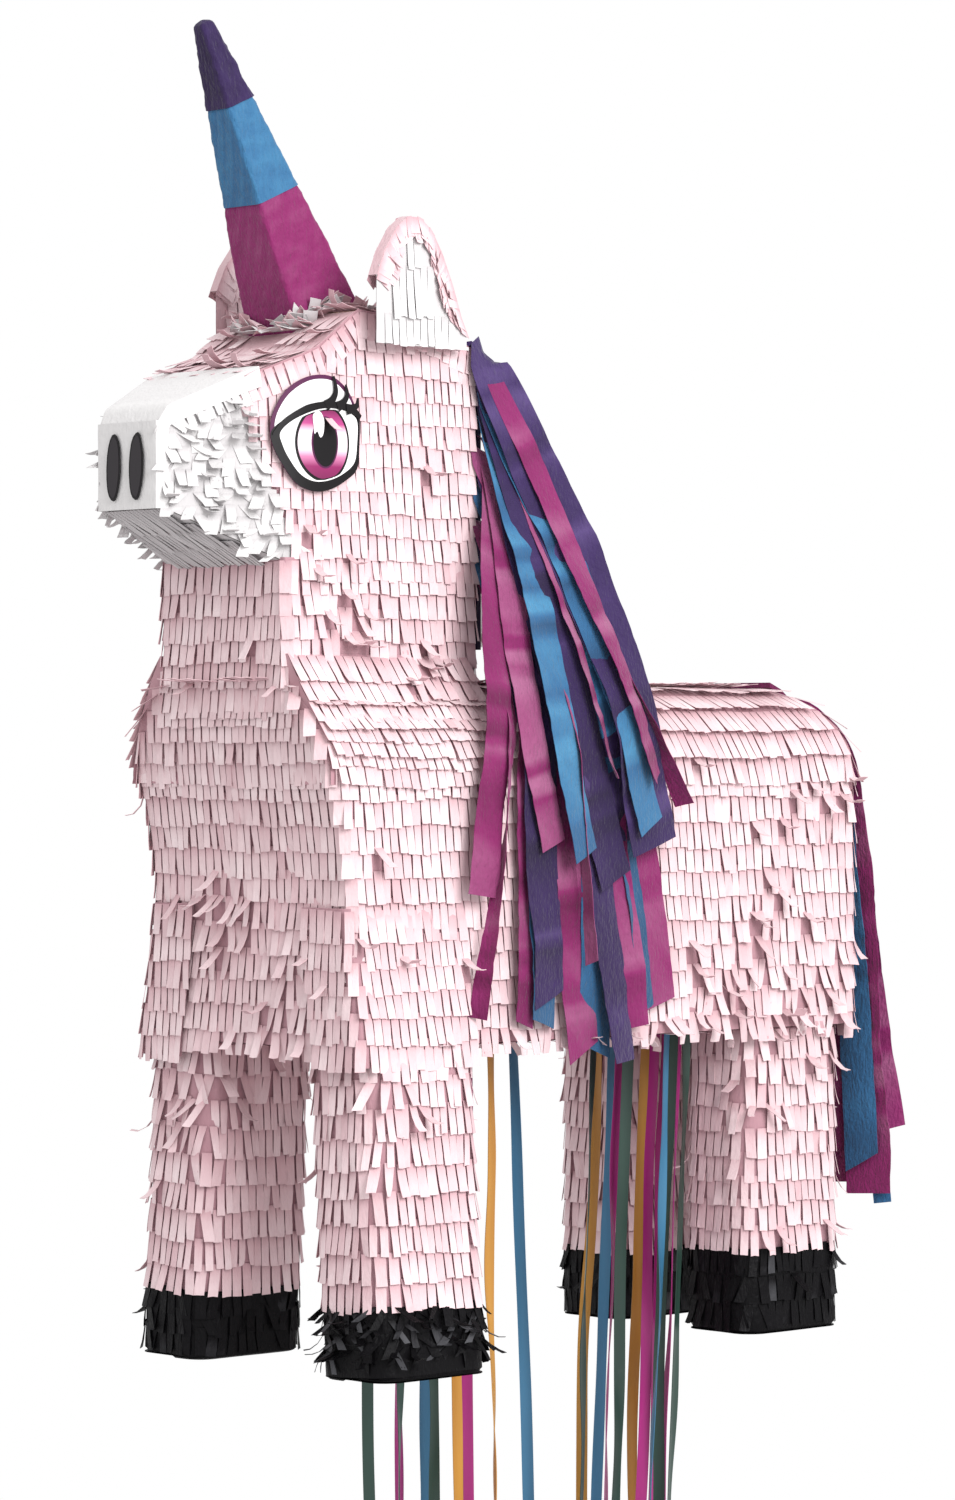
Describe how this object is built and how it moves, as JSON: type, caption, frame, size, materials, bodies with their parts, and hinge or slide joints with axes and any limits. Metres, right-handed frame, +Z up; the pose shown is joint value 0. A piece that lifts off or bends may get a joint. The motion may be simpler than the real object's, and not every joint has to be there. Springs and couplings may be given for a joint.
{
  "type": "pull-string pinata",
  "caption": "Unicorn pull-string pinata: card boxes covered in crepe fringe, with a ribbon-pulled trapdoor, filling flap, streamer mane and tail, and hanging tab.",
  "frame": {"origin": "centre of the hanging bore in the tab", "axes": "+Z up, +X to the left side of the animal, +Y towards its tail"},
  "size_m": [0.1628, 0.394, 0.8696],
  "materials": {
    "corrugated_card": "matt kraft board",
    "crepe_pink": "matt crepe paper, fringed",
    "crepe_white": "matt crepe paper",
    "crepe_black": "crepe paper with a slight sheen",
    "tissue_white": "crumpled tissue",
    "tissue_purple": "creased crepe paper",
    "tissue_blue": "creased crepe paper",
    "tissue_magenta": "creased crepe paper",
    "printed_sticker": "printed, satin",
    "paper_tape": "matt masking tape",
    "dowel": "bare wood",
    "cord_white": "twisted cotton",
    "tab_plastic": "moulded, satin",
    "ribbon_blue": "ribbed poly ribbon",
    "ribbon_gold": "ribbed poly ribbon",
    "ribbon_magenta": "ribbed poly ribbon",
    "ribbon_green": "ribbed poly ribbon",
    "ribbon_white": "knotted ribbon ends"
  },
  "bodies": {
    "hanger": {"hang_tab": "tab_plastic"},
    "pinata": {"side_panel_left": "corrugated_card", "side_panel_right": "corrugated_card", "belly_panel": "corrugated_card", "chest_panel": "corrugated_card", "rump_panel": "corrugated_card", "back_panel": "corrugated_card", "shoulder_left": "corrugated_card", "shoulder_right": "corrugated_card", "cheek_left": "corrugated_card", "cheek_right": "corrugated_card", "neck_front_panel": "corrugated_card", "jaw_panel": "corrugated_card", "nose_panel": "corrugated_card", "forehead_panel": "corrugated_card", "nape_panel": "corrugated_card", "horn_core": "corrugated_card", "horn_wrap_purple": "tissue_purple", "horn_wrap_blue": "tissue_blue", "horn_wrap_magenta": "tissue_magenta", "horn_collar": "tissue_white", "ear_left": "crepe_pink", "ear_right": "crepe_pink", "eye_left": "printed_sticker", "eye_right": "printed_sticker", "nostrils": "printed_sticker", "leg_tube_front_left": "corrugated_card", "leg_tube_front_right": "corrugated_card", "leg_tube_rear_left": "corrugated_card", "leg_tube_rear_right": "corrugated_card", "leg_end_discs": "corrugated_card", "hoof_covers": "crepe_black", "fringe_body": "crepe_pink", "fringe_neck": "crepe_pink", "fringe_head": "crepe_pink", "fringe_muzzle": "crepe_white", "fringe_legs": "crepe_pink", "trapdoor_tape_fixed": "paper_tape", "hanger_bar": "dowel", "hanger_cord": "cord_white", "mane_band": "tissue_purple", "mane_purple": "tissue_purple", "mane_blue": "tissue_blue", "mane_magenta": "tissue_magenta", "tail_band": "tissue_magenta", "tail_magenta": "tissue_magenta", "tail_blue": "tissue_blue", "ribbon_knots": "ribbon_white", "ribbons_blue": "ribbon_blue", "ribbons_gold": "ribbon_gold", "ribbons_magenta": "ribbon_magenta", "ribbons_green": "ribbon_green"},
    "trapdoor": {"trapdoor": "corrugated_card", "release_knot": "ribbon_blue", "trapdoor_tape_moving": "paper_tape"},
    "release_ribbon": {"release_ribbon": "ribbon_blue"},
    "fill_flap": {"fill_flap": "corrugated_card", "fringe_flap": "crepe_pink", "flap_tape": "paper_tape"}
  },
  "joints": [
    {"name": "hang_swing", "type": "hinge", "parent": "hanger", "child": "pinata", "pos_m": [0, 0, -0.0223], "axis": [1, 0, 0], "range_deg": [-20, 20]},
    {"name": "trapdoor_hinge", "type": "hinge", "parent": "pinata", "child": "trapdoor", "pos_m": [0, 0.0503, -0.1932], "axis": [1, 0, 0], "range_deg": [0, 88]},
    {"name": "ribbon_swing", "type": "hinge", "parent": "trapdoor", "child": "release_ribbon", "pos_m": [0.02, 0.004, -0.1936], "axis": [1, 0, 0], "range_deg": [-88, 0]},
    {"name": "fill_flap_hinge", "type": "hinge", "parent": "pinata", "child": "fill_flap", "pos_m": [0, 0.0921, -0.0418], "axis": [-1, 0, 0], "range_deg": [0, 115]}
  ],
  "couplings": [
    {"joint": "ribbon_swing", "follows": "trapdoor_hinge", "ratio": -1}
  ]
}
